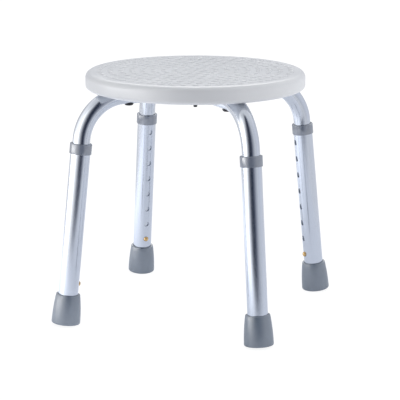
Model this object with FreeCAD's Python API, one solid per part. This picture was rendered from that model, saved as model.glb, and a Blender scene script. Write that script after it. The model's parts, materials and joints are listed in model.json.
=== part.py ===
import FreeCAD, Part
import math
import os

# Shower stool: a round hollow seat on two crossed tube hoops, with four telescoping legs.
# Millimetres. The floor is z = 0, +Z is up, the seat is centred on the Z axis and the
# front is -Y. The legs stand on the diagonals and lean in towards the axis. They are at
# their lowest setting, with each snap button in the lowest hole of its leg tube.

# ---- Whole stool
seat_diameter = 318.0
seat_thickness = 24.5
tube_axis_height = 327.1  # floor to the centre line of the level tubes under the seat
leg_splay = 6.28  # degrees that each leg leans from the vertical
bend_outset = 11.95  # the hoop's corner point stands this far outside the seat's edge
leg_names = {"front_left": -135.0, "front_right": -45.0, "back_right": 45.0, "back_left": 135.0}

# ---- Hoops: the bent inner tubes
tube_diameter = 25.0
tube_wall = 1.5
bend_radius = 65.5  # centre line
tube_below_button = 25.0  # inner tube left below the button's hole
cross_height = 10.0  # each hoop is pressed to this height where the two cross
cross_margin = 7.0  # flattened length beyond the other hoop, each side
cross_taper = 24.0  # length over which round turns to flat

# ---- Leg tubes: the outer tubes that slide on the hoops
slide_clearance = 0.3  # radial, inner tube in leg tube
leg_tube_wall = 1.45
hole_diameter = 8.0
hole_pitch = 25.4
foot_to_hole = 14.85  # top of the rubber foot to the centre of the lowest hole
hole_to_collar = 10.0  # least distance from the top hole to the collar

# ---- Collars at the mouths of the leg tubes
collar_height = 14.9
collar_wall = 1.5
collar_lip = 2.0
collar_clearance = 0.1  # radial, round the inner tube
collar_to_bend = 5.5  # collar's top to the start of the hoop's bend
collar_top_rounding = 1.2
collar_edge_rounding = 0.4

# ---- Rubber feet
foot_height = 42.9
foot_top_wall = 3.0
foot_shoulder_wall = 4.0
foot_shoulder_drop = 6.0  # top of the foot to the shoulder
foot_base_wall = 6.45
foot_base_height = 17.0  # the foot is straight up to here, then narrows
foot_sole_thickness = 5.5
foot_base_rounding = 1.5
foot_flare_rounding = 220.0
foot_top_rounding = 1.0
tread_depth = 1.5
tread_grooves = ((5.0, 7.0), (10.0, 12.0), (15.0, 17.0))  # inner and outer radii
foot_washer_thickness = 1.5
foot_washer_clearance = 0.25

# ---- Snap buttons and their springs
button_clearance = 0.2  # radial, in the holes of both tubes
button_proud = 2.9  # tip above the leg tube's skin
button_rounding = 2.9
spring_width = 9.0
spring_thickness = 0.8
spring_clearance = 0.15
spring_below_button = 9.0
spring_above_button = 30.0

# ---- Seat shell
seat_wall = 3.0
seat_top_rounding = 9.0
seat_bottom_rounding = 5.0
seat_nest = 8.0  # depth that the hoops sink into the seat's underside
seat_clearance = 0.1  # between the hoops and their channels
recess_clearance = 3.0  # round the centre bolt's head, for a socket
recess_headroom = 1.0
boss_wall = 3.5
drain_diameter = 5.0
drain_inset = 48.0  # seat's edge to the centres of the drain holes
drain_azimuths = (0.0, 90.0, 180.0, 270.0)
tread_height = 1.0  # the anti-slip bumps, as one raised disc over the whole field
tread_inset = 16.0  # plain border outside the field

# ---- Seat screws, one through each end of each hoop's level run
screw_diameter = 5.0
screw_to_bend = 7.75  # towards the axis from the start of the bend
screw_hole_clearance = 0.3
screw_head_diameter = 11.6
screw_head_height = 1.6
screw_head_rounding = 1.2
screw_slot_width = 1.0
screw_slot_length = 5.4
screw_slot_depth = 1.0
screw_tip_gap = 1.0
thread_clearance = 0.05
saddle_diameter = 13.6
saddle_thickness = 0.6
insert_wall = 1.5
insert_cover = 3.0  # plastic between the insert and the top skin

# ---- Centre bolt through both hoops
bolt_diameter = 6.0
bolt_hole_clearance = 0.2
bolt_head_height = 4.0
bolt_hex_width = 10.0  # across flats, head and nut
nut_height = 5.0
bolt_washer_diameter = 14.0
bolt_washer_thickness = 1.2
bolt_end = 6.3  # thread showing below the nut

# ---- Worked out from the sizes above
origin = FreeCAD.Vector(0, 0, 0)
x_axis = FreeCAD.Vector(1, 0, 0)
y_axis = FreeCAD.Vector(0, 1, 0)
z_axis = FreeCAD.Vector(0, 0, 1)
through = 1.0  # extra length on a cutting tool, past the face it cuts

splay = math.radians(leg_splay)
tube_radius = tube_diameter / 2
tube_bore_radius = tube_radius - tube_wall
leg_bore_radius = tube_radius + slide_clearance
leg_radius = leg_bore_radius + leg_tube_wall
foot_radius = leg_radius + foot_base_wall

# The sole is square to the leg, so its inner edge is what touches the floor.
sole_lift = (foot_radius - foot_base_rounding) * math.sin(splay) + foot_base_rounding * (1 - math.cos(splay))
corner_along = (tube_axis_height - sole_lift) / math.cos(splay)  # along the leg, from the sole
corner_reach = seat_diameter / 2 + bend_outset  # from the stool's axis
stance_radius = corner_reach + corner_along * math.sin(splay)
bend_angle = 90.0 - leg_splay
bend_setback = bend_radius * math.tan(math.radians(bend_angle) / 2)
bend_start = corner_along - bend_setback
level_reach = corner_reach - bend_setback

collar_top = bend_start - collar_to_bend
collar_bottom = collar_top - collar_height
leg_tube_top = collar_top - collar_lip
leg_tube_bottom = foot_sole_thickness + foot_washer_thickness
first_hole = foot_height + foot_to_hole
hole_count = int((collar_bottom - hole_to_collar - first_hole) / hole_pitch) + 1

tube_bottom_height = tube_axis_height - tube_radius
cross_half_flat = math.pi * (tube_diameter - cross_height) / 4
cross_half_width = cross_half_flat + cross_height / 2
crossing_top = tube_bottom_height + 2 * cross_height
hoops = {"lower": (45.0, tube_bottom_height + cross_height / 2),
         "upper": (-45.0, crossing_top - cross_height / 2)}  # azimuth, middle of the flattened part
cross_reach = cross_half_width + cross_margin
round_reach = cross_reach + cross_taper

seat_radius = seat_diameter / 2
channel_radius = tube_radius + seat_clearance
channel_roof = tube_axis_height + channel_radius
seat_bottom = tube_axis_height + tube_radius - seat_nest
seat_top = seat_bottom + seat_thickness
recess_radius = bolt_hex_width / math.sqrt(3) + recess_clearance
recess_top = crossing_top + bolt_head_height + recess_headroom
screw_reach = level_reach - screw_to_bend
insert_bore_radius = screw_diameter / 2 + thread_clearance
insert_radius = insert_bore_radius + insert_wall
insert_top = seat_top - seat_wall - insert_cover
boss_radius = insert_radius + boss_wall
saddle_bottom = tube_bottom_height - saddle_thickness


def vec(x, y, z):
    return FreeCAD.Vector(x, y, z)


def rounded_face(corners):
    """A face in the XZ plane from corners of (x, z, rounding), in order."""
    points = [vec(x, 0, z) for x, z, rounding in corners]
    edges = []
    ends = []
    for i, (x, z, rounding) in enumerate(corners):
        corner = points[i]
        if rounding == 0:
            ends.append((corner, corner))
            continue
        back = (points[i - 1] - corner).normalize()
        ahead = (points[(i + 1) % len(points)] - corner).normalize()
        half_angle = back.getAngle(ahead) / 2
        reach = rounding / math.tan(half_angle)
        middle = (back + ahead).normalize() * (rounding / math.sin(half_angle) - rounding)
        start = corner + back * reach
        end = corner + ahead * reach
        edges.append(Part.Arc(start, corner + middle, end).toShape())
        ends.append((start, end))
    for i in range(len(ends)):
        leave = ends[i - 1][1]
        arrive = ends[i][0]
        if leave.distanceToPoint(arrive) > 1e-6:
            edges.append(Part.makeLine(leave, arrive))
    return Part.Face(Part.Wire(Part.__sortEdges__(edges)))


def spin(corners):
    """A solid of revolution about Z from corners of (radius, z, rounding)."""
    return rounded_face(corners).revolve(origin, z_axis, 360)


def rod(radius, low, high, x=0.0, y=0.0):
    """An upright cylinder."""
    return Part.makeCylinder(radius, high - low, vec(x, y, low), z_axis)


def hexagon(width, low, high):
    """An upright hexagonal bar, its size given across flats."""
    corner_radius = width / math.sqrt(3)
    corners = [math.radians(azimuth) for azimuth in range(0, 361, 60)]
    points = [vec(corner_radius * math.cos(angle), corner_radius * math.sin(angle), low) for angle in corners]
    return Part.Face(Part.makePolygon(points)).extrude(z_axis * (high - low))


def turned(shape, azimuth):
    """A copy turned about the stool's axis."""
    copy = shape.copy()
    copy.rotate(origin, z_axis, azimuth)
    return copy


def on_leg(shape, azimuth):
    """Moves a shape drawn in leg coordinates to its leg: +Z up the leg, +X inwards, sole at 0."""
    angle = math.radians(azimuth)
    lean = FreeCAD.Rotation(z_axis, azimuth + 180).multiply(FreeCAD.Rotation(y_axis, leg_splay))
    foot = vec(stance_radius * math.cos(angle), stance_radius * math.sin(angle), sole_lift)
    copy = shape.copy()
    copy.Placement = FreeCAD.Placement(foot, lean).multiply(copy.Placement)
    return copy


def on_axis(distance):
    """A point on a leg's centre line in the hoop's plane, at a distance up from the sole."""
    return vec(stance_radius - distance * math.sin(splay), 0, sole_lift + distance * math.cos(splay))


def round_wire(radius, x, z):
    """A circle of four arcs square to X, so that it lofts to the flattened section."""
    points = [vec(x, radius * math.sin(math.radians(45 * i)), z + radius * math.cos(math.radians(45 * i)))
              for i in range(-1, 8)]
    arcs = [Part.Arc(points[i], points[i + 1], points[i + 2]).toShape() for i in range(0, 7, 2)]
    return Part.Wire(arcs)


def flat_wire(half_height, x, z):
    """The flattened section: two flats joined by half circles."""
    flat = cross_half_flat
    corners = [vec(x, -flat, z + half_height), vec(x, flat, z + half_height),
               vec(x, flat, z - half_height), vec(x, -flat, z - half_height)]
    right_end = Part.Arc(corners[1], vec(x, flat + half_height, z), corners[2]).toShape()
    left_end = Part.Arc(corners[3], vec(x, -flat - half_height, z), corners[0]).toShape()
    top = Part.makeLine(corners[0], corners[1])
    bottom = Part.makeLine(corners[2], corners[3])
    return Part.Wire([top, right_end, bottom, left_end])


def bent_bar(radius, leg_from, level_to):
    """Half of a hoop as a round bar in the XZ plane: leg, bend and level run."""
    up_leg = vec(-math.sin(splay), 0, math.cos(splay))
    disc = Part.Face(Part.Wire(Part.makeCircle(radius, on_axis(bend_start), up_leg)))
    bend_centre = vec(level_reach, 0, tube_axis_height - bend_radius)
    bend = disc.revolve(bend_centre, -y_axis, bend_angle)
    level = Part.makeCylinder(radius, level_reach - level_to, vec(level_to, 0, tube_axis_height), x_axis)
    bar = bend.fuse(level)
    if leg_from < bend_start:
        bar = bar.fuse(Part.makeCylinder(radius, bend_start - leg_from, on_axis(leg_from), up_leg))
    return bar.removeSplitter()


def hoop_bar(inset, leg_from, cross_z):
    """A whole hoop as a bar, with its skin moved in by inset."""
    round_end = round_wire(tube_radius - inset, round_reach, tube_axis_height)
    flat_end = flat_wire(cross_height / 2 - inset, cross_reach, cross_z)
    taper = Part.makeLoft([round_end, flat_end], True, True)
    flat = Part.Face(flat_end).extrude(-x_axis * cross_reach)
    half = bent_bar(tube_radius - inset, leg_from, round_reach).fuse([taper, flat])
    return half.fuse(half.mirror(origin, x_axis)).removeSplitter()


def hoop(cross_z):
    """A hollow hoop with its button, screw and centre holes."""
    tube_end = first_hole - tube_below_button
    tube = hoop_bar(0, tube_end, cross_z).cut(hoop_bar(tube_wall, tube_end - through, cross_z))
    inwards = vec(-math.cos(splay), 0, -math.sin(splay))
    button_hole = Part.makeCylinder(hole_diameter / 2, tube_radius + through, on_axis(first_hole), inwards)
    screw_hole = rod(screw_diameter / 2 + screw_hole_clearance, tube_bottom_height - through, channel_roof,
                     screw_reach)
    ends = [button_hole, screw_hole]
    holes = ends + [hole.mirror(origin, x_axis) for hole in ends]
    holes.append(rod(bolt_diameter / 2 + bolt_hole_clearance, tube_bottom_height - through, channel_roof))
    return tube.cut(holes)


def seat():
    """The hollow seat: channels beneath for the hoops, a recess for the centre bolt's head and
    bosses for the inserts."""
    azimuths = leg_names.values()
    tread_radius = seat_radius - tread_inset
    skin = spin([(0, seat_bottom, 0), (seat_radius, seat_bottom, seat_bottom_rounding),
                 (seat_radius, seat_top, seat_top_rounding), (tread_radius, seat_top, 0),
                 (tread_radius, seat_top + tread_height, 0), (0, seat_top + tread_height, 0)])
    room = spin([(0, seat_bottom + seat_wall, 0),
                 (seat_radius - seat_wall, seat_bottom + seat_wall, seat_bottom_rounding - seat_wall),
                 (seat_radius - seat_wall, seat_top - seat_wall, seat_top_rounding - seat_wall),
                 (0, seat_top - seat_wall, 0)])
    channels = [turned(hoop_bar(-seat_clearance, bend_start, cross_z), azimuth)
                for azimuth, cross_z in hoops.values()]
    channel_walls = [turned(hoop_bar(-seat_clearance - seat_wall, bend_start, cross_z), azimuth)
                     for azimuth, cross_z in hoops.values()]
    boss = rod(boss_radius, tube_axis_height, seat_top, screw_reach)
    insert_hole = rod(insert_radius, tube_axis_height, insert_top, screw_reach)
    recess = rod(recess_radius, seat_bottom - through, recess_top)
    recess_walls = rod(recess_radius + seat_wall, seat_bottom, recess_top + seat_wall)
    bosses = [turned(boss, azimuth) for azimuth in azimuths]
    cavity = room.cut(channel_walls + bosses + [recess_walls])
    drain = rod(drain_diameter / 2, seat_bottom - through, seat_bottom + seat_wall + through,
                seat_radius - drain_inset)
    drains = [turned(drain, azimuth) for azimuth in drain_azimuths]
    insert_holes = [turned(insert_hole, azimuth) for azimuth in azimuths]
    return skin.cut(cavity).cut(channels + insert_holes + [recess] + drains)


def four(piece):
    """One of a kind at the end of each hoop, as a group of separate solids."""
    return Part.makeCompound([turned(piece, azimuth) for azimuth in leg_names.values()])


def seat_screw():
    head_bottom = saddle_bottom - screw_head_height
    head = spin([(0, head_bottom, 0), (screw_head_diameter / 2, head_bottom, screw_head_rounding),
                 (screw_head_diameter / 2, saddle_bottom, 0), (0, saddle_bottom, 0)])
    shank = rod(screw_diameter / 2, saddle_bottom, insert_top - screw_tip_gap)
    slot = Part.makeBox(screw_slot_length, screw_slot_width, screw_slot_depth + through,
                        vec(-screw_slot_length / 2, -screw_slot_width / 2, head_bottom - through))
    screw = head.fuse(shank).cut([slot, turned(slot, 90)])
    screw.translate(vec(screw_reach, 0, 0))
    return screw


def saddle_washer():
    saddle_radius = saddle_diameter / 2
    rise = tube_radius - math.sqrt(tube_radius ** 2 - saddle_radius ** 2)
    disc = rod(saddle_radius, saddle_bottom, tube_bottom_height + rise, screw_reach)
    tube = Part.makeCylinder(tube_radius, saddle_diameter * 2,
                             vec(screw_reach - saddle_diameter, 0, tube_axis_height), x_axis)
    hole_radius = screw_diameter / 2 + screw_hole_clearance
    hole = rod(hole_radius, saddle_bottom - through, tube_axis_height, screw_reach)
    return disc.cut([tube, hole])


def seat_insert():
    body = rod(insert_radius, channel_roof, insert_top, screw_reach)
    return body.cut(rod(insert_bore_radius, channel_roof - through, insert_top + through, screw_reach))


def centre_bolt():
    tip = tube_bottom_height - bolt_washer_thickness - nut_height - bolt_end
    head = hexagon(bolt_hex_width, crossing_top, crossing_top + bolt_head_height)
    return rod(bolt_diameter / 2, tip, crossing_top).fuse(head)


def centre_washer():
    top = tube_bottom_height
    bottom = top - bolt_washer_thickness
    hole = rod(bolt_diameter / 2 + bolt_hole_clearance, bottom - through, top + through)
    return rod(bolt_washer_diameter / 2, bottom, top).cut(hole)


def centre_nut():
    top = tube_bottom_height - bolt_washer_thickness
    bottom = top - nut_height
    hole = rod(bolt_diameter / 2 + thread_clearance, bottom - through, top + through)
    return hexagon(bolt_hex_width, bottom, top).cut(hole)


def leg_tube():
    bore = rod(leg_bore_radius, leg_tube_bottom - through, leg_tube_top + through)
    heights = [first_hole + i * hole_pitch for i in range(hole_count)]
    holes = [Part.makeCylinder(hole_diameter / 2, leg_radius + through, vec(0, 0, height), x_axis)
             for height in heights]
    return rod(leg_radius, leg_tube_bottom, leg_tube_top).cut([bore] + holes)


def collar():
    outside = leg_radius + collar_wall
    throat = tube_radius + collar_clearance
    return spin([(leg_radius, collar_bottom, 0), (outside, collar_bottom, collar_edge_rounding),
                 (outside, collar_top, collar_top_rounding), (throat, collar_top, collar_edge_rounding),
                 (throat, leg_tube_top, 0), (leg_radius, leg_tube_top, 0)])


def rubber_foot():
    sole = [(0, 0, 0)]
    for inner, outer in tread_grooves:
        sole += [(inner, 0, 0), (inner, tread_depth, 0), (outer, tread_depth, 0), (outer, 0, 0)]
    outside = [(foot_radius, 0, foot_base_rounding), (foot_radius, foot_base_height, foot_flare_rounding),
               (leg_radius + foot_shoulder_wall, foot_height - foot_shoulder_drop, 0),
               (leg_radius + foot_top_wall, foot_height, foot_top_rounding)]
    socket = [(leg_radius, foot_height, 0), (leg_radius, foot_sole_thickness, 0), (0, foot_sole_thickness, 0)]
    return spin(sole + outside + socket)


def foot_washer():
    return rod(leg_radius - foot_washer_clearance, foot_sole_thickness, leg_tube_bottom)


def spring_face_reach():
    """Leg centre line to the flat outer face of the spring's leaf, inside the round tube."""
    return math.sqrt(tube_bore_radius ** 2 - (spring_width / 2) ** 2) - spring_clearance


def snap_button():
    radius = hole_diameter / 2 - button_clearance
    tip = leg_radius + button_proud
    button = spin([(0, spring_face_reach(), 0), (radius, spring_face_reach(), 0),
                   (radius, tip, button_rounding), (0, tip, 0)])
    button.rotate(origin, y_axis, 90)
    button.translate(vec(0, 0, first_hole))
    return button


def button_spring():
    """A hairpin of flat strip: two leaves joined by a half round over the button."""
    outer = spring_face_reach()
    inner = outer - spring_thickness
    low = first_hole - spring_below_button
    high = first_hole + spring_above_button
    strips = []
    for reach, slack in ((outer, 0), (inner, through)):
        top = high + reach
        face = rounded_face([(reach, low - slack, 0), (reach, top, reach), (-reach, top, reach),
                             (-reach, low - slack, 0)])
        face.translate(vec(0, -spring_width / 2, 0))
        strips.append(face.extrude(y_axis * spring_width))
    return strips[0].cut(strips[1])


def save(node, shape):
    shape.exportStep("parts/" + node + ".step")


os.makedirs("parts", exist_ok=True)
save("seat", seat())
for hoop_name, (hoop_azimuth, hoop_cross_z) in hoops.items():
    save("frame_tube_" + hoop_name, turned(hoop(hoop_cross_z), hoop_azimuth))
save("seat_screws", four(seat_screw()))
save("saddle_washers", four(saddle_washer()))
save("seat_inserts", four(seat_insert()))
save("centre_bolt", centre_bolt())
save("centre_washer", centre_washer())
save("centre_nut", centre_nut())
leg_pieces = {"leg_tube": leg_tube(), "leg_collar": collar(), "rubber_foot": rubber_foot(),
              "foot_washer": foot_washer(), "snap_button": snap_button(), "button_spring": button_spring()}
for leg_name, leg_azimuth in leg_names.items():
    for piece_name, piece in leg_pieces.items():
        save(piece_name + "_" + leg_name, on_leg(piece, leg_azimuth))
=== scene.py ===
# Shower stool: a moulded round seat on two crossed tube hoops, with four telescoping legs.
import json
import math

import bmesh
import bpy
from mathutils import Matrix, Vector


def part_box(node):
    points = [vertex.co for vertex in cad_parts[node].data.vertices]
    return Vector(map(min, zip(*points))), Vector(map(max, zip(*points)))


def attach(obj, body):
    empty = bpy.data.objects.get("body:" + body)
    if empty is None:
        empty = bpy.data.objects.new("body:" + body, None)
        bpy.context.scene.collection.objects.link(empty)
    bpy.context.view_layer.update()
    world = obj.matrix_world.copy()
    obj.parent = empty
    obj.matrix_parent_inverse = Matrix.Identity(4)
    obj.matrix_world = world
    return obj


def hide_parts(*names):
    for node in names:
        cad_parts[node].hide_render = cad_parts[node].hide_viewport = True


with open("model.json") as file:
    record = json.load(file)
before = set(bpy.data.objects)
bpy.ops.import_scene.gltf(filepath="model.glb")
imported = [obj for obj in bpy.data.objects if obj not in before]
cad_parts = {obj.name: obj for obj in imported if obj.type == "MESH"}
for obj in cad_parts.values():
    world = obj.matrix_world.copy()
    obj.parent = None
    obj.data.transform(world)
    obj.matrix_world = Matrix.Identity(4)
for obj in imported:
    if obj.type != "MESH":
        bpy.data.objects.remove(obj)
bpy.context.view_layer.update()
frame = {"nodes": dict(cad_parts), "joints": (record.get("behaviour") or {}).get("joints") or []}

mm = 0.001  # shapes are drawn in millimetres and placed in metres
nodes = frame["nodes"]
legNames = ("front_left", "front_right", "back_right", "back_left")
joints = {joint["name"]: joint for joint in frame["joints"]}
print("frame loaded:", len(nodes), "nodes")


# shape tools that several pieces share

def roundCorner(bm, vert, rounding, arcSteps):  # rounds one corner of a drawn outline
    ways = [(edge.other_vert(vert).co - vert.co).normalized() for edge in vert.link_edges]
    reach = rounding / math.tan(ways[0].angle(ways[1]) / 2)
    bmesh.ops.bevel(bm, geom=[vert], offset=reach, offset_type="OFFSET", segments=arcSteps,
                    profile=0.5, affect="VERTICES", material=-1)


def turnedPart(outline, sides=96, arcSteps=5, closed=False):  # outline of (radius, height, rounding)
    bm = bmesh.new()
    verts = [bm.verts.new((radius, 0, height)) for radius, height, rounding in outline]
    for first, second in zip(verts, verts[1:] + (verts[:1] if closed else [])):
        bm.edges.new((first, second))
    for vert, (radius, height, rounding) in list(zip(verts, outline)):
        if rounding:
            roundCorner(bm, vert, rounding, arcSteps)
    bmesh.ops.spin(bm, geom=bm.verts[:] + bm.edges[:], cent=(0, 0, 0), axis=(0, 0, 1), dvec=(0, 0, 0),
                   angle=math.tau, steps=sides, use_merge=True, use_duplicate=False)
    bmesh.ops.remove_doubles(bm, verts=bm.verts[:], dist=0.0005)
    bmesh.ops.recalc_face_normals(bm, faces=bm.faces[:])
    return bm


def rodPart(radius, low, high, sides=32):  # a plain closed rod, for cutting with
    bm = bmesh.new()
    bmesh.ops.create_cone(bm, cap_ends=True, cap_tris=False, segments=sides, radius1=radius, radius2=radius,
                          depth=high - low)
    bmesh.ops.translate(bm, verts=bm.verts[:], vec=(0, 0, (low + high) / 2))
    return bm


def hexPart(acrossFlats, low, high, chamfer):
    bm = bmesh.new()
    bmesh.ops.create_cone(bm, cap_ends=True, cap_tris=False, segments=6, radius1=acrossFlats / math.sqrt(3),
                          radius2=acrossFlats / math.sqrt(3), depth=high - low)
    bmesh.ops.translate(bm, verts=bm.verts[:], vec=(0, 0, (low + high) / 2))
    bmesh.ops.bevel(bm, geom=bm.edges[:], offset=chamfer, offset_type="OFFSET", segments=2, profile=0.5,
                    affect="EDGES", material=-1)
    return bm


def moved(bm, matrix):
    bmesh.ops.transform(bm, matrix=matrix, verts=bm.verts[:])
    return bm


def outAt(azimuth, reach):  # out along X, then turned round Z
    return Matrix.Rotation(math.radians(azimuth), 4, "Z") @ Matrix.Translation((reach, 0, 0))


def together(*parts):  # several shapes as one
    whole = bmesh.new()
    for part in parts:
        spare = bpy.data.meshes.new("spare")
        part.to_mesh(spare)
        part.free()
        whole.from_mesh(spare)
        bpy.data.meshes.remove(spare)
    return whole


def temporary(bm):
    mesh = bpy.data.meshes.new("temporary")
    bm.to_mesh(mesh)
    bm.free()
    holder = bpy.data.objects.new("temporary", mesh)
    bpy.context.scene.collection.objects.link(holder)
    return holder


def drop(holder):
    mesh = holder.data
    bpy.data.objects.remove(holder)
    bpy.data.meshes.remove(mesh)


def worked(bm, wall=0.0, cutters=()):  # gives a skin its wall, then cuts the holes
    holder = temporary(bm)
    if wall:
        thicken = holder.modifiers.new("wall", "SOLIDIFY")
        thicken.thickness = wall
        thicken.offset = -1
        thicken.use_even_offset = True
    tools = [temporary(cutter) for cutter in cutters]
    for tool in tools:
        cut = holder.modifiers.new("cut", "BOOLEAN")
        cut.operation = "DIFFERENCE"
        cut.solver = "EXACT"
        cut.object = tool
    made = holder.evaluated_get(bpy.context.evaluated_depsgraph_get())
    result = bmesh.new()
    result.from_mesh(bpy.data.meshes.new_from_object(made))
    for leftover in [holder] + tools:
        drop(leftover)
    bmesh.ops.remove_doubles(result, verts=result.verts[:], dist=0.0005)
    return result


def finished(name, bm, body, material, replaced=(), place=Matrix.Identity(4), crease=34,
             straighten=None):
    mesh = bpy.data.meshes.new(name)
    bm.to_mesh(mesh)
    bm.free()
    if straighten:  # where each point lies along the straight tube, for the drawn grain
        drawn = mesh.attributes.new("drawn", "FLOAT_VECTOR", "POINT")
        for i, vert in enumerate(mesh.vertices):
            drawn.data[i].vector = Vector(straighten(vert.co)) * mm
    mesh.transform(place @ Matrix.Scale(mm, 4))
    mesh.shade_smooth()
    mesh.set_sharp_from_angle(angle=math.radians(crease))
    mesh.materials.append(material)
    piece = bpy.data.objects.new(name, mesh)
    bpy.context.scene.collection.objects.link(piece)
    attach(piece, body)
    if replaced:
        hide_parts(*replaced)
    return piece


# finishes

class Finish:  # a Principled material and the few nodes that vary it
    def __init__(self, name):
        self.material = bpy.data.materials.new(name)
        self.material.use_nodes = True
        self.tree = self.material.node_tree
        self.shader = self.tree.nodes["Principled BSDF"]

    def add(self, kind, inputs=(), **settings):
        node = self.tree.nodes.new(kind)
        for key, value in settings.items():
            setattr(node, key, value)
        for key, value in dict(inputs).items():
            if isinstance(value, bpy.types.NodeSocket):
                self.tree.links.new(value, node.inputs[key])
            else:
                node.inputs[key].default_value = value
        return node

    def coordinates(self, stretch=(1, 1, 1), attribute=None):
        if attribute:
            source = self.add("ShaderNodeAttribute", attribute_name=attribute).outputs["Vector"]
        else:
            source = self.add("ShaderNodeTexCoord").outputs["Object"]
        return self.add("ShaderNodeMapping", {"Vector": source, "Scale": stretch}).outputs["Vector"]

    def noise(self, size, coordinates, detail=2.0, roughness=0.5):  # size in millimetres
        inputs = {"Vector": coordinates, "Scale": 1 / (size * mm), "Detail": detail, "Roughness": roughness}
        return self.add("ShaderNodeTexNoise", inputs).outputs["Fac"]

    def between(self, value, low, high, lowTo, highTo):
        inputs = {"Value": value, "From Min": low, "From Max": high, "To Min": lowTo, "To Max": highTo}
        return self.add("ShaderNodeMapRange", inputs).outputs["Result"]

    def tint(self, value, stops):
        ramp = self.add("ShaderNodeValToRGB", {"Fac": value})
        elements = ramp.color_ramp.elements
        while len(elements) < len(stops):
            elements.new(0.5)
        for element, (position, colour) in zip(elements, stops):
            element.position = position
            element.color = (*colour, 1)
        return ramp.outputs["Color"]

    def mixed(self, share, first, second):
        node = self.add("ShaderNodeMix", data_type="RGBA")
        for socket, value in zip((node.inputs[0], node.inputs[6], node.inputs[7]), (share, first, second)):
            if isinstance(value, bpy.types.NodeSocket):
                self.tree.links.new(value, socket)
            elif isinstance(value, tuple):
                socket.default_value = (*value, 1)
            else:
                socket.default_value = value
        return node.outputs[2]

    def bump(self, height, depth, under=None):  # depth in millimetres
        inputs = {"Height": height, "Distance": depth * mm, "Strength": 1.0}
        if under:
            inputs["Normal"] = under
        return self.add("ShaderNodeBump", inputs).outputs["Normal"]

    def set(self, **sockets):
        for key, value in sockets.items():
            socket = self.shader.inputs[key.replace("_", " ")]
            if isinstance(value, bpy.types.NodeSocket):
                self.tree.links.new(value, socket)
            elif isinstance(value, tuple):
                socket.default_value = (*value, 1)
            else:
                socket.default_value = value
        return self.material


def seatPlastic(name, look):
    finish = Finish(name)
    spot = finish.coordinates()
    grain = finish.noise(look["grain"], spot, detail=3.0)
    cloud = finish.noise(look["cloud"], spot, detail=4.0, roughness=0.6)
    colour = finish.tint(cloud, [(0.3, look["shade"]), (0.7, look["colour"])])
    colour = finish.mixed(finish.between(grain, 0.25, 0.75, 0.0, look["speckle"]), colour, look["fleck"])
    ripple = finish.noise(look["ripple"], spot, detail=1.0)
    waves = finish.bump(ripple, look["rippleDepth"])
    skin = finish.bump(grain, look["grainDepth"], under=waves)
    rough = finish.between(cloud, 0.3, 0.7, *look["roughness"])
    return finish.set(Base_Color=colour, Roughness=rough, Normal=skin, Specular_IOR_Level=look["specular"],
                      IOR=look["ior"])


def drawnAluminium(name, look):
    finish = Finish(name)
    lines = finish.coordinates(stretch=(1, 1, look["stretch"]), attribute="drawn")
    spot = finish.coordinates(attribute="drawn")
    draw = finish.noise(look["line"], lines, detail=3.0)
    cloud = finish.noise(look["cloud"], spot, detail=3.0)
    grit = finish.noise(look["grit"], spot, detail=1.0)
    colour = finish.tint(draw, [(0.3, look["shade"]), (0.7, look["colour"])])
    colour = finish.mixed(finish.between(cloud, 0.35, 0.65, 0.0, 0.5), colour, look["warm"])
    rough = finish.between(draw, 0.3, 0.7, *look["roughness"])
    skin = finish.bump(grit, look["gritDepth"], under=finish.bump(draw, look["lineDepth"]))
    return finish.set(Base_Color=colour, Roughness=rough, Normal=skin, Metallic=1.0)


def mouldedGrey(name, look):
    finish = Finish(name)
    spot = finish.coordinates()
    grain = finish.noise(look["grain"], spot, detail=3.0)
    cloud = finish.noise(look["cloud"], spot, detail=4.0, roughness=0.6)
    colour = finish.tint(cloud, [(0.32, look["shade"]), (0.68, look["colour"])])
    dust = finish.between(grain, 0.58, 0.72, 0.0, look["dust"])
    colour = finish.mixed(dust, colour, look["dustColour"])
    skin = finish.bump(grain, look["grainDepth"], under=finish.bump(cloud, look["cloudDepth"]))
    rough = finish.between(cloud, 0.3, 0.7, *look["roughness"])
    return finish.set(Base_Color=colour, Roughness=rough, Normal=skin, Specular_IOR_Level=look["specular"],
                      IOR=look["ior"])


def platedMetal(name, look):
    finish = Finish(name)
    spot = finish.coordinates()
    grain = finish.noise(look["grain"], spot, detail=3.0)
    cloud = finish.noise(look["cloud"], spot, detail=3.0)
    colour = finish.tint(cloud, [(0.3, look["shade"]), (0.7, look["colour"])])
    return finish.set(Base_Color=colour, Roughness=finish.between(grain, 0.3, 0.7, *look["roughness"]),
                      Normal=finish.bump(grain, look["grainDepth"]), Metallic=look["metallic"])


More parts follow.
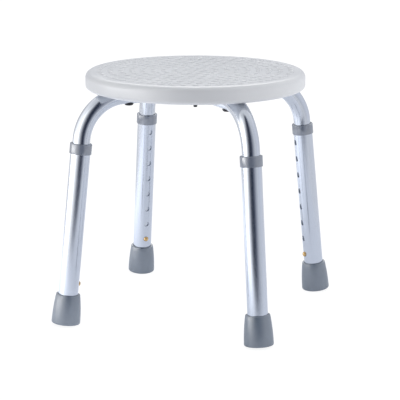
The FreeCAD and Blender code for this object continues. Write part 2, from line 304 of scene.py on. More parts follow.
looks = {
    "seat": {"colour": (0.70, 0.71, 0.725), "shade": (0.67, 0.68, 0.695), "fleck": (0.62, 0.63, 0.645),
             "speckle": 0.25, "grain": 0.45, "grainDepth": 0.02, "cloud": 60.0, "ripple": 14.0,
             "rippleDepth": 0.03, "roughness": (0.27, 0.36), "specular": 1.0, "ior": 1.6},
    "hoop": {"colour": (0.61, 0.64, 0.69), "shade": (0.57, 0.60, 0.66), "warm": (0.60, 0.63, 0.68),
             "line": 0.35, "stretch": 0.03, "cloud": 25.0, "grit": 0.3, "gritDepth": 0.0012,
             "lineDepth": 0.0015, "roughness": (0.14, 0.20)},
    "leg": {"colour": (0.61, 0.645, 0.71), "shade": (0.57, 0.605, 0.67), "warm": (0.60, 0.63, 0.69),
            "line": 0.4, "stretch": 0.03, "cloud": 30.0, "grit": 0.35, "gritDepth": 0.003,
            "lineDepth": 0.002, "roughness": (0.17, 0.24)},
    "collar": {"colour": (0.165, 0.190, 0.240), "shade": (0.150, 0.172, 0.220), "dust": 0.12,
               "dustColour": (0.23, 0.255, 0.30), "grain": 0.3, "grainDepth": 0.008, "cloud": 7.0,
               "cloudDepth": 0.02, "roughness": (0.14, 0.2), "specular": 1.0, "ior": 1.8},
    "foot": {"colour": (0.110, 0.145, 0.195), "shade": (0.095, 0.125, 0.170), "dust": 0.2,
             "dustColour": (0.18, 0.215, 0.26), "grain": 0.5, "grainDepth": 0.03, "cloud": 11.0,
             "cloudDepth": 0.05, "roughness": (0.28, 0.36), "specular": 1.0, "ior": 1.8},
    "brass": {"colour": (0.72, 0.50, 0.24), "shade": (0.50, 0.32, 0.14), "metallic": 1.0,
              "grain": 0.25, "grainDepth": 0.004, "cloud": 2.5, "roughness": (0.16, 0.30)},
    "blackZinc": {"colour": (0.05, 0.05, 0.055), "shade": (0.025, 0.025, 0.03), "metallic": 0.7,
                  "grain": 0.3, "grainDepth": 0.006, "cloud": 4.0, "roughness": (0.30, 0.45)},
    "zinc": {"colour": (0.60, 0.62, 0.65), "shade": (0.48, 0.50, 0.54), "metallic": 1.0,
             "grain": 0.3, "grainDepth": 0.006, "cloud": 5.0, "roughness": (0.24, 0.38)},
    "springSteel": {"colour": (0.42, 0.43, 0.46), "shade": (0.30, 0.31, 0.35), "metallic": 1.0,
                    "grain": 0.35, "grainDepth": 0.005, "cloud": 6.0, "roughness": (0.26, 0.40)},
}
materials = {
    "seat": seatPlastic("seatPlastic", looks["seat"]),
    "hoop": drawnAluminium("hoopAluminium", looks["hoop"]),
    "leg": drawnAluminium("legAluminium", looks["leg"]),
    "collar": mouldedGrey("collarPlastic", looks["collar"]),
    "foot": mouldedGrey("footRubber", looks["foot"]),
    "brass": platedMetal("buttonBrass", looks["brass"]),
    "blackZinc": platedMetal("blackZinc", looks["blackZinc"]),
    "zinc": platedMetal("brightZinc", looks["zinc"]),
    "springSteel": platedMetal("springSteel", looks["springSteel"]),
}
print("finishes made:", len(materials))


# where things are, read from the frame

seatLow, seatHigh = (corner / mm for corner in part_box("seat"))
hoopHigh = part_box("frame_tube_lower")[1] / mm
legDown = Vector(joints["leg_height_front_left"]["axis"])
splay = math.acos(-legDown.z)

hoop = {"diameter": 25.0, "wall": 1.5, "bendRadius": 65.5, "sides": 64, "bendSteps": 30, "legSteps": 40,
        "footEnd": 32.75, "pressedHeight": 10.0, "roundTo": 47.78, "pressedFrom": 23.78, "taperSteps": 14,
        "levelSteps": 16, "pressedSteps": 8, "buttonHole": 4.0, "screwHole": 2.8, "screwAt": 104.5,
        "boltHole": 3.2, "holeSides": 40, "through": 20.0}
leg = {"outside": 14.25, "bore": 12.8, "low": 7.0, "high": 260.76, "firstHole": 57.75, "pitch": 25.4,
       "holes": 8, "holeRadius": 4.0, "punchFrom": 5.0, "punchTo": 20.0, "sides": 80, "steps": 100}

axisZ = hoopHigh.z - hoop["diameter"] / 2  # the level tubes' centre line


def legPlace(name):  # leg drawing to the stool: +Z up the leg, +X inwards, sole at 0
    low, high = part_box("leg_tube_" + name)
    up = -Vector(joints["leg_height_" + name]["axis"]).normalized()
    sole = (low + high) / 2 - up * (leg["low"] + leg["high"]) / 2 * mm
    side = up.cross(Vector((-up.x, -up.y, 0))).normalized() * -1
    inward = side.cross(up).normalized()
    if inward.x * sole.x + inward.y * sole.y > 0:
        inward, side = -inward, -side
    place = Matrix((inward, up.cross(inward), up)).transposed().to_4x4()
    place.translation = sole
    return place


legPlaces = {name: legPlace(name) for name in legNames}
soleSpot = legPlaces["front_left"].translation / mm
stance = math.hypot(soleSpot.x, soleSpot.y)
soleLift = soleSpot.z
cornerRun = (axisZ - soleLift) / math.cos(splay)
cornerReach = stance - cornerRun * math.sin(splay)
setback = hoop["bendRadius"] * math.tan((math.pi / 2 - splay) / 2)
levelReach = cornerReach - setback
bendCentre = Vector((levelReach, 0, axisZ - hoop["bendRadius"]))
bendAngle = math.pi / 2 - splay
print("level reach", round(levelReach, 2), "bend starts", round(cornerRun - setback, 2), "mm up the leg")


# hoops: the bent inner tubes

def pressedPoint(point, middle, radius, halfHeight):  # from round to pressed flat, with the same girth
    across = point.x
    turn = math.atan2(point.y, point.z - axisZ)
    share = min(1.0, (hoop["roundTo"] - across) / (hoop["roundTo"] - hoop["pressedFrom"]))
    flat = math.pi * (radius - halfHeight) / 2
    along = radius * math.asin(min(1.0, abs(math.sin(turn))))  # girth from the top middle, out to the side
    if along <= flat:
        side, rise = along, halfHeight
    else:
        roundTurn = (along - flat) / halfHeight
        side, rise = flat + halfHeight * math.sin(roundTurn), halfHeight * math.cos(roundTurn)
    side = math.copysign(side, math.sin(turn))
    rise = math.copysign(rise, math.cos(turn)) if abs(math.cos(turn)) > 1e-6 else 0.0
    roundZ = axisZ + radius * math.cos(turn)
    return Vector((across, (1 - share) * radius * math.sin(turn) + share * side,
                   (1 - share) * roundZ + share * (middle + rise)))


def hoopSkin(middle, grow=0.0, footEnd=None, capped=False):  # a bent tube in the XZ plane
    radius = hoop["diameter"] / 2 + grow
    up = Vector((-math.sin(splay), 0, math.cos(splay)))
    onLeg = Vector((stance, 0, soleLift))
    bendStart = cornerRun - setback
    low = hoop["footEnd"] if footEnd is None else footEnd
    bm = bmesh.new()
    bmesh.ops.create_circle(bm, cap_ends=capped, segments=hoop["sides"], radius=radius)
    moved(bm, Matrix.Translation(onLeg + up * low) @ Matrix.Rotation(-splay, 4, "Y"))
    ring = bm.edges[:]

    def pulled(edges):
        made = bmesh.ops.extrude_edge_only(bm, edges=edges)["geom"]
        return ([item for item in made if isinstance(item, bmesh.types.BMVert)],
                [item for item in made if isinstance(item, bmesh.types.BMEdge)])

    for i in range(hoop["legSteps"]):
        verts, ring = pulled(ring)
        bmesh.ops.translate(bm, verts=verts, vec=up * (bendStart - low) / hoop["legSteps"])
    made = bmesh.ops.spin(bm, geom=ring, cent=bendCentre, axis=(0, -1, 0), dvec=(0, 0, 0), angle=bendAngle,
                          steps=hoop["bendSteps"], use_merge=False, use_duplicate=False)["geom_last"]
    ring = [item for item in made if isinstance(item, bmesh.types.BMEdge)]
    runs = [(levelReach, hoop["roundTo"], hoop["levelSteps"]),
            (hoop["roundTo"], hoop["pressedFrom"], hoop["taperSteps"]),
            (hoop["pressedFrom"], 0.0, hoop["pressedSteps"])]
    for start, end, steps in runs:
        for i in range(steps):
            verts, ring = pulled(ring)
            for vert in verts:
                vert.co.x = start + (end - start) * (i + 1) / steps
    for vert in bm.verts:
        if vert.co.x < hoop["roundTo"] - 0.01:
            vert.co = pressedPoint(vert.co, middle, radius, hoop["pressedHeight"] / 2 + grow)
    bmesh.ops.mirror(bm, geom=bm.verts[:] + bm.edges[:] + bm.faces[:], matrix=Matrix.Identity(4),
                     merge_dist=0.001, axis="X")
    bmesh.ops.remove_doubles(bm, verts=bm.verts[:], dist=0.0005)
    bmesh.ops.recalc_face_normals(bm, faces=bm.faces[:])
    return bm


def alongHoop(point):  # a point of the bent hoop as it lay in the straight tube
    out = abs(point.x)
    fromCentre = Vector((out - bendCentre.x, point.z - bendCentre.z))
    turn = math.atan2(fromCentre.x, fromCentre.y)
    if out <= levelReach:
        run, across = out, point.z - axisZ
    elif turn <= bendAngle:
        run = levelReach + hoop["bendRadius"] * turn
        across = fromCentre.length - hoop["bendRadius"]
    else:
        outward = Vector((math.cos(splay), math.sin(splay)))
        down = Vector((math.sin(splay), -math.cos(splay)))
        run = levelReach + hoop["bendRadius"] * bendAngle + fromCentre.dot(down)
        across = fromCentre.dot(outward) - hoop["bendRadius"]
    return across, point.y, math.copysign(run, point.x)


def sideways(radius, start, length, at, mirrorIt=False):  # a cutting rod out of a leg's inward side
    up = Vector((-math.sin(splay), 0, math.cos(splay)))
    inward = Vector((-math.cos(splay), 0, -math.sin(splay)))
    rod = rodPart(radius, start, start + length, hoop["holeSides"])
    turn = inward.to_track_quat("Z", "Y").to_matrix().to_4x4()
    moved(rod, Matrix.Translation(Vector((stance, 0, soleLift)) + up * at) @ turn)
    if mirrorIt:
        moved(rod, Matrix.Scale(-1, 4, (1, 0, 0)))
        bmesh.ops.recalc_face_normals(rod, faces=rod.faces[:])
    return rod


tubeBottom = axisZ - hoop["diameter"] / 2
crossings = {"lower": (45, tubeBottom + hoop["pressedHeight"] / 2),
             "upper": (-45, tubeBottom + hoop["pressedHeight"] * 1.5)}
for name, (azimuth, middle) in crossings.items():
    cutters = [sideways(hoop["buttonHole"], 0, hoop["through"], leg["firstHole"], mirrorIt)
               for mirrorIt in (False, True)]
    drillLow, drillHigh = tubeBottom - 2, axisZ + hoop["through"]
    for across in (-hoop["screwAt"], hoop["screwAt"]):
        cutters.append(moved(rodPart(hoop["screwHole"], drillLow, drillHigh, hoop["holeSides"]),
                             Matrix.Translation((across, 0, 0))))
    cutters.append(rodPart(hoop["boltHole"], drillLow, drillHigh, hoop["holeSides"]))
    bar = worked(hoopSkin(middle), hoop["wall"], [together(*cutters)])
    finished("hoop_" + name, bar, "frame", materials["hoop"], ["frame_tube_" + name],
             Matrix.Rotation(math.radians(azimuth), 4, "Z"), straighten=alongHoop)
print("hoops bent and drilled")


# legs: what slides on each end of a hoop

def legTube():
    bm = bmesh.new()
    bmesh.ops.create_circle(bm, cap_ends=False, segments=leg["sides"], radius=leg["outside"])
    moved(bm, Matrix.Translation((0, 0, leg["low"])))
    ring = bm.edges[:]
    for i in range(leg["steps"]):
        made = bmesh.ops.extrude_edge_only(bm, edges=ring)["geom"]
        ring = [item for item in made if isinstance(item, bmesh.types.BMEdge)]
        bmesh.ops.translate(bm, verts=[item for item in made if isinstance(item, bmesh.types.BMVert)],
                            vec=(0, 0, (leg["high"] - leg["low"]) / leg["steps"]))
    bmesh.ops.recalc_face_normals(bm, faces=bm.faces[:])
    punches = []
    for i in range(leg["holes"]):
        punch = rodPart(leg["holeRadius"], leg["punchFrom"], leg["punchTo"], hoop["holeSides"])
        spot = Matrix.Translation((0, 0, leg["firstHole"] + i * leg["pitch"]))
        punches.append(moved(punch, spot @ Matrix.Rotation(math.pi / 2, 4, "Y")))
    return worked(bm, leg["outside"] - leg["bore"], [together(*punches)])


collar = {"outside": 15.75, "low": 247.86, "high": 262.76, "seatAt": 260.76, "throat": 12.6,
          "topRounding": 1.2, "edgeRounding": 0.4}
foot = {"height": 42.9, "base": 20.7, "baseHeight": 17.0, "baseRounding": 1.5, "flare": 220.0,
        "shoulder": 18.25, "shoulderHeight": 36.9, "shoulderRounding": 1.5, "top": 17.25, "topRounding": 1.0,
        "sole": 5.5, "tread": ((5.0, 7.0), (10.0, 12.0), (15.0, 17.0)), "treadDepth": 1.5,
        "treadRounding": 0.2, "creaseOut": 0.25, "creaseAt": 34.6, "creaseRounding": 0.6, "lipWide": 0.35,
        "lipHigh": 0.6, "lipRounding": 0.3}
button = {"radius": 3.8, "base": 9.89, "tip": 17.15, "rounding": 2.9}


def legCollar():
    outline = [(leg["outside"], collar["low"], 0), (collar["outside"], collar["low"], collar["edgeRounding"]),
               (collar["outside"], collar["high"], collar["topRounding"]),
               (collar["throat"], collar["high"], collar["edgeRounding"]),
               (collar["throat"], collar["seatAt"], 0), (leg["outside"], collar["seatAt"], 0)]
    return turnedPart(outline, arcSteps=5, closed=True)


def rubberFoot():
    outline = [(0, 0, 0)]
    soft, deep = foot["treadRounding"], foot["treadDepth"]
    for inner, outer in foot["tread"]:
        outline += [(inner, 0, soft), (inner + soft, deep, soft)]
        outline += [(outer - soft, deep, soft), (outer, 0, soft)]
    outline += [(foot["base"], 0, foot["baseRounding"]), (foot["base"], foot["baseHeight"], foot["flare"]),
                (foot["shoulder"] + foot["creaseOut"], foot["creaseAt"], foot["creaseRounding"]),
                (foot["shoulder"], foot["shoulderHeight"], foot["shoulderRounding"]),
                (foot["top"], foot["height"], foot["topRounding"]),
                (leg["outside"] + foot["lipWide"], foot["height"], foot["lipRounding"]),
                (leg["outside"], foot["height"] - foot["lipHigh"], 0),
                (leg["outside"], foot["sole"], 0), (0, foot["sole"], 0)]
    return turnedPart(outline, arcSteps=8)


def snapButton():
    outline = [(0, button["base"], 0), (button["radius"], button["base"], 0),
               (button["radius"], button["tip"], button["rounding"]), (0, button["tip"], 0)]
    return moved(turnedPart(outline, sides=48, arcSteps=8), Matrix.Rotation(math.pi / 2, 4, "Y"))


def alongLeg(point):  # a leg tube is straight already
    return point.x, point.y, point.z


for name in legNames:
    place, body = legPlaces[name], "leg_" + name
    finished("legTube_" + name, legTube(), body, materials["leg"],
             ["leg_tube_" + name], place, straighten=alongLeg)
    finished("legCollar_" + name, legCollar(), body, materials["collar"],
             ["leg_collar_" + name], place)
    finished("rubberFoot_" + name, rubberFoot(), body, materials["foot"],
             ["rubber_foot_" + name], place)
    finished("snapButton_" + name, moved(snapButton(), Matrix.Translation((0, 0, leg["firstHole"]))),
             "button_" + name, materials["brass"], ["snap_button_" + name], place)
print("legs made")


# seat: the moulded body and its anti-slip bumps

seat = {"radius": 159.0, "topRounding": 9.0, "bottomRounding": 5.0, "treadHeight": 1.0, "sides": 256,
        "gap": 0.1, "recess": 8.77, "recessTop": 339.6, "drain": 2.5, "drainAt": 111.0, "drainDepth": 9.0,
        "insertHole": 4.05, "insertTop": 350.1, "cutPast": 5.0}
tread = {"ringGap": 15.4, "rings": 9, "perRing": 6, "long": 10.6, "wide": 8.0, "sides": 16, "sink": 0.06,
         "steps": ((0.14, 0.46), (0.22, 0.30), (0.4, 0.20), (0.8, 0.10))}
skinTop = seatHigh.z - seat["treadHeight"]


def seatBody():
    outline = [(0, seatLow.z, 0), (seat["radius"], seatLow.z, seat["bottomRounding"]),
               (seat["radius"], skinTop, seat["topRounding"]), (0, skinTop, 0)]
    body = turnedPart(outline, sides=seat["sides"], arcSteps=12)
    cutters = []
    for azimuth, middle in crossings.values():
        channel = hoopSkin(middle, seat["gap"], cornerRun - setback - 1, capped=True)
        cutters.append(moved(channel, Matrix.Rotation(math.radians(azimuth), 4, "Z")))
    below = seatLow.z - seat["cutPast"]
    holes = [rodPart(seat["recess"], below, seat["recessTop"], 48)]
    for i in range(4):
        drain = rodPart(seat["drain"], below, seatLow.z + seat["drainDepth"])
        holes.append(moved(drain, outAt(90 * i, seat["drainAt"])))
        insert = rodPart(seat["insertHole"], axisZ, seat["insertTop"])
        holes.append(moved(insert, outAt(45 + 90 * i, hoop["screwAt"])))
    return worked(body, 0, cutters + [together(*holes)])


def treadBump():  # one low pillow of the anti-slip field
    bm = bmesh.new()
    bmesh.ops.create_circle(bm, cap_ends=True, segments=tread["sides"], radius=0.5)
    moved(bm, Matrix.Translation((0, 0, -tread["sink"]))
          @ Matrix.Diagonal((tread["wide"], tread["long"], 1, 1)))
    raised = bmesh.ops.extrude_face_region(bm, geom=bm.faces[:])["geom"]
    top = [item for item in raised if isinstance(item, bmesh.types.BMFace)]
    for inset, rise in tread["steps"]:
        bmesh.ops.inset_region(bm, faces=top, thickness=inset, use_even_offset=True)
        bmesh.ops.translate(bm, verts=top[0].verts[:], vec=(0, 0, rise))
    bmesh.ops.remove_doubles(bm, verts=bm.verts[:], dist=0.0005)
    bmesh.ops.recalc_face_normals(bm, faces=bm.faces[:])
    return bm


def treadField():
    bump = treadBump()
    field = bmesh.new()
    spare = bpy.data.meshes.new("spare")
    bump.to_mesh(spare)
    bump.free()
    spots = [(0.0, 0.0)]
    for ring in range(1, tread["rings"] + 1):
        count = tread["perRing"] * ring
        for i in range(count):
            spots.append((ring * tread["ringGap"], math.tau * (i + (ring % 2) / 2) / count))
    for reach, turn in spots:
        start = len(field.verts)
        field.from_mesh(spare)
        field.verts.ensure_lookup_table()
        spot = Matrix.Rotation(turn, 4, "Z") @ Matrix.Translation((reach, 0, skinTop))
        bmesh.ops.transform(field, matrix=spot, verts=field.verts[start:])
    bpy.data.meshes.remove(spare)
    return field


finished("seatBody", seatBody(), "frame", materials["seat"], ["seat"])
finished("seatTread", treadField(), "frame", materials["seat"], crease=50)
print("seat moulded")


# fasteners

screw = {"head": 5.8, "headHeight": 1.6, "rounding": 1.2, "edge": 0.15, "shank": 2.5, "tip": 349.1,
         "slotWidth": 1.0, "slotLength": 5.4, "slotDepth": 1.0, "pitch": 1.0, "threadDepth": 0.35}
saddle = {"bore": 2.8, "radius": 6.8, "thick": 0.6, "blank": 2.0, "edge": 0.1, "rimEdge": 0.2, "half": 20.0}
bolt = {"radius": 3.0, "hex": 10.0, "headHeight": 4.0, "tip": 302.1, "bore": 3.2, "washer": 7.0,
        "washerThick": 1.2, "edge": 0.1, "rimEdge": 0.2, "nut": 5.0, "nutGap": 0.05, "chamfer": 0.5,
        "pitch": 1.0, "threadDepth": 0.3}
thread = {"sides": 40, "lead": 0.4, "tipTaper": 0.3, "flank": 0.4, "crest": 0.5}  # last two in pitches


def threadedShank(radius, low, high, pitch, depth):  # a shank with rings for its thread
    root = radius - depth
    outline = [(0, low, 0), (root - thread["tipTaper"], low, 0)]
    count = int((high - low - pitch) / pitch)
    for i in range(count):
        bottom = low + thread["lead"] + i * pitch
        outline += [(root, bottom, 0), (radius, bottom + pitch * thread["flank"], 0),
                    (radius, bottom + pitch * thread["crest"], 0)]
    outline += [(root, low + thread["lead"] + count * pitch, 0), (root, high, 0), (0, high, 0)]
    return turnedPart(outline, sides=thread["sides"])


def seatScrew():
    top = tubeBottom - saddle["thick"]
    low = top - screw["headHeight"]
    head = turnedPart([(0, low, 0), (screw["head"], low, screw["rounding"]),
                       (screw["head"], top, screw["edge"]), (0, top, 0)], sides=48, arcSteps=6)
    slots = []
    size = Matrix.Diagonal((screw["slotLength"], screw["slotWidth"], 2 * screw["slotDepth"], 1))
    for turn in (0, math.pi / 2):
        slot = bmesh.new()
        bmesh.ops.create_cube(slot, size=1, matrix=Matrix.Translation((0, 0, low))
                              @ Matrix.Rotation(turn, 4, "Z") @ size)
        slots.append(slot)
    drilled = worked(head, 0, slots)
    return together(drilled, threadedShank(screw["shank"], top, screw["tip"], screw["pitch"],
                                           screw["threadDepth"]))


def saddleWasher():
    low, high = tubeBottom - saddle["thick"], tubeBottom + saddle["blank"]
    washer = turnedPart([(saddle["bore"], low, saddle["edge"]), (saddle["radius"], low, saddle["rimEdge"]),
                         (saddle["radius"], high, saddle["edge"]), (saddle["bore"], high, 0)],
                        sides=64, arcSteps=3, closed=True)
    rod = moved(rodPart(hoop["diameter"] / 2, -saddle["half"], saddle["half"], 128),
                Matrix.Translation((0, 0, axisZ)) @ Matrix.Rotation(math.pi / 2, 4, "Y"))
    return worked(washer, 0, [rod])


def atArms(maker):
    return together(*[moved(maker(), outAt(45 + 90 * i, hoop["screwAt"])) for i in range(4)])


finished("seatScrews", atArms(seatScrew), "frame", materials["blackZinc"], ["seat_screws"])
finished("saddleWashers", atArms(saddleWasher), "frame", materials["blackZinc"],
         ["saddle_washers"])
crossTop = tubeBottom + 2 * hoop["pressedHeight"]
nutTop = tubeBottom - bolt["washerThick"]
nutLow = nutTop - bolt["nut"]
boltHead = hexPart(bolt["hex"], crossTop, crossTop + bolt["headHeight"], bolt["chamfer"])
boltShank = threadedShank(bolt["radius"], bolt["tip"], crossTop + 0.5, bolt["pitch"], bolt["threadDepth"])
finished("centreBolt", together(boltHead, boltShank), "frame", materials["blackZinc"],
         ["centre_bolt"])
nutBore = rodPart(bolt["radius"] + bolt["nutGap"], nutLow - 5, nutTop + 5, thread["sides"])
finished("centreNut", worked(hexPart(bolt["hex"], nutLow, nutTop, bolt["chamfer"]), 0, [nutBore]), "frame",
         materials["zinc"], ["centre_nut"])
centreWasher = turnedPart([(bolt["bore"], nutTop, bolt["edge"]), (bolt["washer"], nutTop, bolt["rimEdge"]),
                           (bolt["washer"], tubeBottom, bolt["rimEdge"]),
                           (bolt["bore"], tubeBottom, bolt["edge"])], sides=64, arcSteps=2, closed=True)
finished("centreWasher", centreWasher, "frame", materials["zinc"], ["centre_washer"])
print("fasteners made")


# nodes carried over from the frame: only their finish changes

kept = {"button_spring": "springSteel", "foot_washer": "zinc", "seat_inserts": "brass"}
for name, node in nodes.items():
    for start, look in kept.items():
        if name.startswith(start):
            node.material_slots[0].material = materials[look]


# studio: floor, reflections, sky and camera

studio = {"towards": 19.89, "skyTop": (0.85, 0.87, 0.90), "skyUnder": (0.88, 0.89, 0.92),
          "softTop": (0.715, 0.735, 0.775), "lowRise": (-0.2, -0.1), "bandRise": (0.0, 0.12),
          "midRise": (0.3, 0.62), "topRise": (0.5, 0.95), "softRise": (0.3, 0.8)}
ground = {"size": 40.0, "sweep": (0.55, 0.95), "colour": (0.80, 0.82, 0.86), "shade": (0.2, 0.2, 0.2),
          "glow": 0.9, "spill": (0.95, 0.98, 1.05), "spillAcross": (-0.45, -0.02), "spillLevels": (0.9, 0.22)}
slotCard = {"middle": 0.0, "away": 0.764, "wide": 3.0, "high": 2.6, "fadeHeights": (0.7, 1.9),
            "fadeAcross": (-0.42, -0.16), "top": (0.75, 0.77, 0.80)}
camera = {"place": (0.7352, -2.0321, 0.6815), "pitch": 13.5, "lens": 135.5, "shift": 0.0116}
towards = math.radians(studio["towards"])  # the camera stands this far round from the front

floorMesh = bpy.data.meshes.new("floor")
floorShape = bmesh.new()
bmesh.ops.create_grid(floorShape, x_segments=2, y_segments=2, size=ground["size"] / 2)
floorShape.to_mesh(floorMesh)
floorShape.free()
floor = bpy.data.objects.new("floor", floorMesh)
bpy.context.scene.collection.objects.link(floor)
floorFinish = Finish("paleFloor")
spot = floorFinish.add("ShaderNodeTexCoord").outputs["Object"]
reach = floorFinish.add("ShaderNodeVectorMath", {0: spot}, operation="LENGTH").outputs["Value"]
sweepFrom, sweepTo = ground["sweep"]
edge = floorFinish.add("ShaderNodeMapRange", {"Value": reach, "From Min": sweepFrom, "From Max": sweepTo},
                       interpolation_type="SMOOTHSTEP")
turnedSpot = floorFinish.add("ShaderNodeMapping", {"Vector": spot, "Rotation": (0, 0, -towards)})
side = floorFinish.add("ShaderNodeSeparateXYZ", {"Vector": turnedSpot.outputs["Vector"]}).outputs["X"]
spill = floorFinish.between(side, *ground["spillAcross"], *ground["spillLevels"])
sweepGlow = floorFinish.add("ShaderNodeEmission", {"Color": (*ground["spill"], 1), "Strength": spill})
sweepFace = floorFinish.add("ShaderNodeBsdfDiffuse", {"Color": (*ground["colour"], 1)})
sweepLit = floorFinish.add("ShaderNodeAddShader", {0: sweepGlow.outputs[0], 1: sweepFace.outputs[0]})
clear = floorFinish.add("ShaderNodeBsdfTransparent")
sweep = floorFinish.add("ShaderNodeMixShader", {0: edge.outputs["Result"], 1: sweepLit.outputs[0],
                                                2: clear.outputs[0]})
floorGlow = floorFinish.add("ShaderNodeEmission", {"Strength": ground["glow"]})
floorFace = floorFinish.add("ShaderNodeBsdfDiffuse", {"Color": (*ground["shade"], 1)})
glow = floorFinish.add("ShaderNodeAddShader", {0: floorGlow.outputs[0], 1: floorFace.outputs[0]})
floorRays = floorFinish.add("ShaderNodeLightPath")
floorOut = floorFinish.add("ShaderNodeMixShader", {0: floorRays.outputs["Is Camera Ray"], 1: sweep.outputs[0],
                                                   2: glow.outputs[0]})
floorFinish.tree.nodes.remove(floorFinish.shader)
floorFinish.tree.links.new(floorOut.outputs[0], floorFinish.tree.nodes["Material Output"].inputs["Surface"])
floor.data.materials.append(floorFinish.material)

# a tall card in front with a dark slot, seen only in reflections
cardMesh = bpy.data.meshes.new("slotCard")
cardShape = bmesh.new()
bmesh.ops.create_grid(cardShape, x_segments=2, y_segments=2, size=0.5)
moved(cardShape, Matrix.Rotation(towards, 4, "Z")
      @ Matrix.Translation((slotCard["middle"], -slotCard["away"], slotCard["high"] / 2))
      @ Matrix.Diagonal((slotCard["wide"], 1, slotCard["high"], 1)) @ Matrix.Rotation(math.pi / 2, 4, "X"))
cardShape.to_mesh(cardMesh)
cardShape.free()
card = bpy.data.objects.new("slotCard", cardMesh)
bpy.context.scene.collection.objects.link(card)
card.visible_camera = card.visible_diffuse = card.visible_shadow = card.visible_transmission = False
cardFinish = Finish("slotCard")
cardObject = cardFinish.add("ShaderNodeTexCoord").outputs["Object"]
cardSpot = cardFinish.add("ShaderNodeMapping", {"Vector": cardObject, "Rotation": (0, 0, -towards)})
cardParts = cardFinish.add("ShaderNodeSeparateXYZ", {"Vector": cardSpot.outputs["Vector"]}).outputs
cardEnd = slotCard["wide"] / 2
cardShare = cardFinish.between(cardParts["X"], -cardEnd, cardEnd, 0.0, 1.0)
cardRise = cardFinish.between(cardParts["Z"], *slotCard["fadeHeights"], 0.0, 1.0)
cardSide = cardFinish.between(cardParts["X"], *slotCard["fadeAcross"], 1.0, 0.0)
cardFade = cardFinish.add("ShaderNodeMath", {0: cardRise, 1: cardSide}, operation="MULTIPLY").outputs[0]
slotStops = [(-1.5, 3.4, 3.4, 3.4), (-1.2, 3.0, 3.0, 3.0), (-0.95, 2.2, 2.2, 2.2), (-0.7, 1.4, 1.4, 1.38),
             (-0.5, 0.98, 0.98, 0.98), (-0.34, 0.50, 0.51, 0.54), (-0.2, 0.18, 0.19, 0.23),
             (-0.07, 0.04, 0.05, 0.075), (0.08, 0.02, 0.03, 0.055), (0.18, 0.05, 0.06, 0.10),
             (0.3, 0.19, 0.21, 0.26), (0.45, 0.42, 0.44, 0.50), (0.7, 0.62, 0.64, 0.70),
             (1.0, 0.76, 0.79, 0.83), (1.5, 0.83, 0.86, 0.91)]  # metres across, then colour
slotTones = cardFinish.tint(cardShare, [((at + cardEnd) / slotCard["wide"], tuple(level))
                                        for at, *level in slotStops])
cardTones = cardFinish.mixed(cardFade, slotTones, slotCard["top"])
cardGlow = cardFinish.add("ShaderNodeEmission", {"Color": cardTones, "Strength": 1.0})
cardFinish.tree.nodes.remove(cardFinish.shader)
cardFinish.tree.links.new(cardGlow.outputs[0], cardFinish.tree.nodes["Material Output"].inputs["Surface"])
card.data.materials.append(cardFinish.material)

world = bpy.data.worlds.new("studio")
bpy.context.scene.world = world
world.use_nodes = True
sky = world.node_tree
sky.nodes.clear()


def skyNode(kind, inputs=(), **settings):
    node = sky.nodes.new(kind)
    for key, value in settings.items():
        setattr(node, key, value)
    for key, value in dict(inputs).items():
        if isinstance(value, bpy.types.NodeSocket):
            sky.links.new(value, node.inputs[key])
        else:
            node.inputs[key].default_value = value
    return node


def skyRamp(value, stops):
    ramp = skyNode("ShaderNodeValToRGB", {"Fac": value})
    elements = ramp.color_ramp.elements
    while len(elements) < len(stops):
        elements.new(0.5)
    for element, (position, level, tone) in zip(elements, stops):
        element.position = position
        element.color = (level * tone[0], level * tone[1], level * tone[2], 1)
    return ramp.outputs["Color"]


# degrees round from the camera's side, brightness, tone
white, cool, navy, lilac = (1, 1, 1), (0.95, 0.985, 1.08), (0.85, 0.90, 1.2), (0.98, 0.96, 1.05)
darkSide = [(-23, 0.80, cool), (-11, 0.36, cool), (0, 0.13, navy), (10, 0.06, navy), (22, 0.11, navy),
            (35, 0.26, cool), (47, 0.46, cool), (60, 0.63, cool), (75, 0.80, cool), (90, 0.86, cool),
            (110, 0.88, cool), (140, 0.78, cool), (180, 0.50, cool)]
lowBands = [(-180, 0.50, cool), (-150, 0.60, cool), (-128, 0.95, white), (-108, 1.7, white),
            (-98, 4.4, white), (-62, 4.4, white), (-52, 1.9, white), (-35, 1.2, white)] + darkSide
riseBands = [(-180, 0.50, cool), (-150, 0.60, cool), (-128, 0.85, white), (-108, 1.3, white),
             (-98, 1.6, white), (-62, 1.6, white), (-52, 1.4, white), (-35, 1.1, white)] + darkSide
midBands = [(-180, 5.0, white), (-165, 3.4, white), (-148, 1.4, white), (-125, 1.1, white),
            (-108, 1.3, white), (-98, 1.5, white), (-62, 1.5, white), (-50, 1.4, white), (-30, 1.3, white),
            (-14, 0.85, cool), (0, 0.28, navy), (12, 0.05, navy), (27, 0.05, navy), (38, 0.32, cool),
            (52, 0.62, cool), (90, 0.85, cool), (148, 1.2, white), (165, 3.4, white), (180, 5.0, white)]
softBands = [(-180, 0.8, white), (-130, 0.8, white), (-95, 0.75, white), (-60, 0.85, white),
             (-35, 0.85, white), (-12, 0.35, lilac), (15, 0.25, lilac), (40, 0.65, white),
             (70, 1.75, white), (120, 1.5, white), (180, 0.8, white)]
direction = skyNode("ShaderNodeTexCoord").outputs["Generated"]
turnedSky = skyNode("ShaderNodeMapping", {"Vector": direction, "Rotation": (0, 0, -towards)})
parts = skyNode("ShaderNodeSeparateXYZ", {"Vector": turnedSky.outputs["Vector"]})
back = skyNode("ShaderNodeMath", {0: parts.outputs["Y"], 1: -1.0}, operation="MULTIPLY")
bearing = skyNode("ShaderNodeMath", {0: parts.outputs["X"], 1: back.outputs[0]}, operation="ARCTAN2")
share = skyNode("ShaderNodeMapRange", {"Value": bearing.outputs[0], "From Min": -math.pi,
                                       "From Max": math.pi})


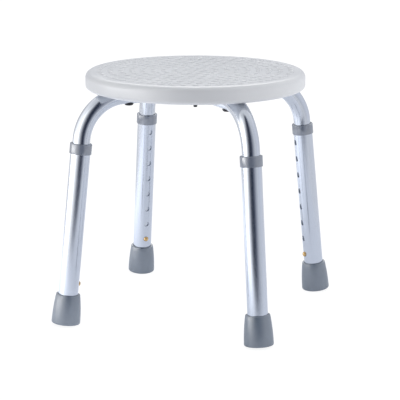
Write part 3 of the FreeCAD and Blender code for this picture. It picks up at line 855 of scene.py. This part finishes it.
def bandRamp(bands):  # once round the sky
    stops = [((degrees + 180) / 360, level, tone) for degrees, level, tone in bands]
    return skyRamp(share.outputs["Result"], stops)


def skyBlend(low, high, fromHeight, toHeight):  # from one tone to another as the ray rises
    inputs = {"Value": parts.outputs["Z"], "From Min": fromHeight, "From Max": toHeight}
    rise = skyNode("ShaderNodeMapRange", inputs, interpolation_type="SMOOTHSTEP")
    blend = skyNode("ShaderNodeMix", data_type="RGBA")
    sky.links.new(rise.outputs["Result"], blend.inputs[0])
    for socket, value in ((blend.inputs[6], low), (blend.inputs[7], high)):
        if isinstance(value, tuple):
            socket.default_value = (*value, 1)
        else:
            sky.links.new(value, socket)
    return blend.outputs[2]


bandsLow = skyBlend(studio["skyUnder"], bandRamp(lowBands), *studio["lowRise"])
bandsRise = skyBlend(bandsLow, bandRamp(riseBands), *studio["bandRise"])
bandsUp = skyBlend(bandsRise, bandRamp(midBands), *studio["midRise"])
sides = skyBlend(bandsUp, studio["skyTop"], *studio["topRise"])
softLight = skyBlend(bandRamp(softBands), studio["softTop"], *studio["softRise"])
rays = skyNode("ShaderNodeLightPath").outputs
mirrored = skyNode("ShaderNodeBackground", {"Color": sides, "Strength": 1.0})
soft = skyNode("ShaderNodeBackground", {"Color": softLight, "Strength": 1.0})
seen = skyNode("ShaderNodeBackground", {"Color": (1, 1, 1, 1), "Strength": 1.0})
lit = skyNode("ShaderNodeMixShader", {0: rays["Is Diffuse Ray"], 1: mirrored.outputs[0], 2: soft.outputs[0]})
both = skyNode("ShaderNodeMixShader", {0: rays["Is Camera Ray"], 1: lit.outputs[0], 2: seen.outputs[0]})
skyNode("ShaderNodeOutputWorld", {"Surface": both.outputs[0]})

lens = bpy.data.cameras.new("camera")
lens.lens, lens.sensor_width, lens.shift_x = camera["lens"], 36.0, camera["shift"]
lens.clip_start, lens.clip_end = 0.05, 100.0
viewer = bpy.data.objects.new("camera", lens)
viewer.location = camera["place"]
viewer.rotation_euler = (math.radians(90 - camera["pitch"]), 0, towards)
bpy.context.scene.collection.objects.link(viewer)
bpy.context.scene.camera = viewer
bpy.context.scene.view_settings.view_transform = "Standard"
print("studio set")
